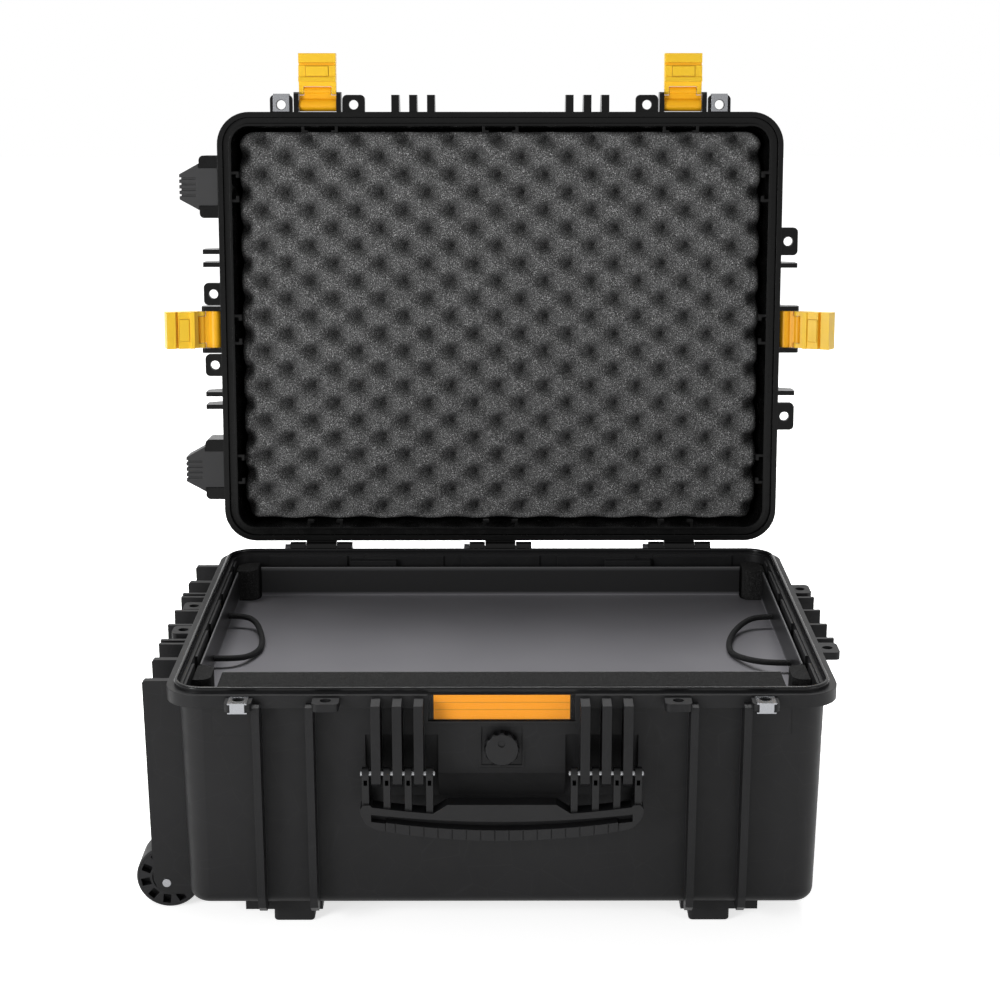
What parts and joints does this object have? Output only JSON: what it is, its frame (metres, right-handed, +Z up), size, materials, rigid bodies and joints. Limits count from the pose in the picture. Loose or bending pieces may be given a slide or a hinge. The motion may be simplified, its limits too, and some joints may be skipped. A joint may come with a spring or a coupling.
{
  "type": "rolling tool case",
  "caption": "Hard moulded rolling tool case with a hinged foam-lined lid, over-centre latches, a folding carry handle, wheels, a telescopic handle and a lift-off tray.",
  "frame": {"origin": "centre of the open case's bounding box, at the floor", "axes": "+X to the right and +Y to the back, seen from the handle side, +Z up"},
  "size_m": [0.733, 0.6057, 0.7738],
  "materials": {
    "shell": "injection-moulded black plastic, fine texture",
    "handle": "moulded black plastic",
    "grip": "soft moulded grip",
    "latch_link": "deep orange moulded plastic",
    "latch_lever": "yellow-orange moulded plastic",
    "steel": "bright steel",
    "foam": "dark grey open-cell foam",
    "seal": "glossy black gasket",
    "tray": "satin black sheet",
    "rope": "black braided rope",
    "card": "orange printed card",
    "cover": "clear cover",
    "rubber": "black rubber",
    "hub": "moulded black plastic",
    "tyre": "moulded tyre",
    "tube": "drawn tube"
  },
  "bodies": {
    "base": {"base_shell": "shell", "padlock_lugs": "shell", "lock_plates_base": "steel", "hinge_pins": "steel", "handle_pins": "steel", "label_card": "card", "label_cover": "cover", "valve_body": "handle", "rubber_feet": "rubber", "wheel_axles": "steel", "trolley_guides": "handle", "base_foam": "foam"},
    "lid": {"lid_shell": "shell", "lid_seal": "seal", "lid_foam": "foam", "lock_plates_lid": "steel", "latch_pins": "steel", "stand_feet": "rubber"},
    "carry_handle": {"handle_frame": "handle", "handle_grip": "grip"},
    "valve": {"valve_knob": "handle"},
    "wheel_front": {"wheel_hub_front": "hub", "wheel_tyre_front": "tyre"},
    "wheel_rear": {"wheel_hub_rear": "hub", "wheel_tyre_rear": "tyre"},
    "trolley": {"trolley_tubes": "tube", "trolley_grip": "handle"},
    "trolley_release": {"trolley_button": "handle"},
    "tray": {"tray": "tray", "rope_left": "rope", "rope_right": "rope"},
    "latch_link_front_left": {"latch_link_front_left": "latch_link", "lever_pin_front_left": "steel"},
    "latch_lever_front_left": {"latch_lever_front_left": "latch_lever"},
    "latch_button_front_left": {"latch_button_front_left": "latch_lever"},
    "latch_link_front_right": {"latch_link_front_right": "latch_link", "lever_pin_front_right": "steel"},
    "latch_lever_front_right": {"latch_lever_front_right": "latch_lever"},
    "latch_button_front_right": {"latch_button_front_right": "latch_lever"},
    "latch_link_left": {"latch_link_left": "latch_link", "lever_pin_left": "steel"},
    "latch_lever_left": {"latch_lever_left": "latch_lever"},
    "latch_button_left": {"latch_button_left": "latch_lever"},
    "latch_link_right": {"latch_link_right": "latch_link", "lever_pin_right": "steel"},
    "latch_lever_right": {"latch_lever_right": "latch_lever"},
    "latch_button_right": {"latch_button_right": "latch_lever"}
  },
  "joints": [
    {"name": "lid_hinge", "type": "hinge", "parent": "base", "child": "lid", "pos_m": [0, 0.19615, 0.2354], "axis": [-1, 0, 0], "range_deg": [-94.87, 0]},
    {"name": "carry_handle_hinge", "type": "hinge", "parent": "base", "child": "carry_handle", "pos_m": [0, -0.29445, 0.165], "axis": [-1, 0, 0], "range_deg": [0, 95]},
    {"name": "valve_turn", "type": "hinge", "parent": "base", "child": "valve", "pos_m": [0, -0.26943, 0.182], "axis": [0, -1, 0], "range_deg": [0, 180]},
    {"name": "wheel_front_spin", "type": "hinge", "parent": "base", "child": "wheel_front", "pos_m": [-0.3157, -0.20245, 0.0313], "axis": [0, 1, 0], "continuous": true},
    {"name": "wheel_rear_spin", "type": "hinge", "parent": "base", "child": "wheel_rear", "pos_m": [-0.3157, 0.10755, 0.0313], "axis": [0, 1, 0], "continuous": true},
    {"name": "trolley_slide", "type": "slide", "parent": "base", "child": "trolley", "axis": [1, 0, 0], "range_m": [0, 0.39]},
    {"name": "trolley_button_push", "type": "slide", "parent": "trolley", "child": "trolley_release", "axis": [-1, 0, 0], "range_m": [0, 0.003], "stiffness_N_per_m": 600},
    {"name": "tray_lift", "type": "slide", "parent": "base", "child": "tray", "axis": [0, 0, 1], "range_m": [0, 0.2]},
    {"name": "latch_link_front_left_hinge", "type": "hinge", "parent": "lid", "child": "latch_link_front_left", "pos_m": [-0.197, 0.24878, 0.71878], "axis": [-1, 0, 0], "range_deg": [-90, 25]},
    {"name": "latch_lever_front_left_hinge", "type": "hinge", "parent": "latch_link_front_left", "child": "latch_lever_front_left", "pos_m": [-0.197, 0.25005, 0.73372], "axis": [-1, 0, 0], "range_deg": [0, 60]},
    {"name": "latch_button_front_left_push", "type": "slide", "parent": "latch_lever_front_left", "child": "latch_button_front_left", "axis": [0, -0.9964, 0.0849], "range_m": [0, 0.0025], "stiffness_N_per_m": 500},
    {"name": "latch_link_front_right_hinge", "type": "hinge", "parent": "lid", "child": "latch_link_front_right", "pos_m": [0.197, 0.24878, 0.71878], "axis": [-1, 0, 0], "range_deg": [-90, 25]},
    {"name": "latch_lever_front_right_hinge", "type": "hinge", "parent": "latch_link_front_right", "child": "latch_lever_front_right", "pos_m": [0.197, 0.25005, 0.73372], "axis": [-1, 0, 0], "range_deg": [0, 60]},
    {"name": "latch_button_front_right_push", "type": "slide", "parent": "latch_lever_front_right", "child": "latch_button_front_right", "axis": [0, -0.9964, 0.0849], "range_m": [0, 0.0025], "stiffness_N_per_m": 500},
    {"name": "latch_link_left_hinge", "type": "hinge", "parent": "lid", "child": "latch_link_left", "pos_m": [-0.3135, 0.22819, 0.47715], "axis": [0, -0.0849, -0.9964], "range_deg": [-73, 42]},
    {"name": "latch_lever_left_hinge", "type": "hinge", "parent": "latch_link_left", "child": "latch_lever_left", "pos_m": [-0.32784, 0.22382, 0.47752], "axis": [0, -0.0849, -0.9964], "range_deg": [0, 60]},
    {"name": "latch_button_left_push", "type": "slide", "parent": "latch_lever_left", "child": "latch_button_left", "axis": [0.2924, -0.9529, 0.0812], "range_m": [0, 0.0025], "stiffness_N_per_m": 500},
    {"name": "latch_link_right_hinge", "type": "hinge", "parent": "lid", "child": "latch_link_right", "pos_m": [0.3135, 0.22819, 0.47715], "axis": [0, 0.0849, 0.9964], "range_deg": [-60, 55]},
    {"name": "latch_lever_right_hinge", "type": "hinge", "parent": "latch_link_right", "child": "latch_lever_right", "pos_m": [0.32649, 0.22072, 0.47779], "axis": [0, 0.0849, 0.9964], "range_deg": [0, 60]},
    {"name": "latch_button_right_push", "type": "slide", "parent": "latch_lever_right", "child": "latch_button_right", "axis": [-0.5, -0.8629, 0.0735], "range_m": [0, 0.0025], "stiffness_N_per_m": 500}
  ]
}
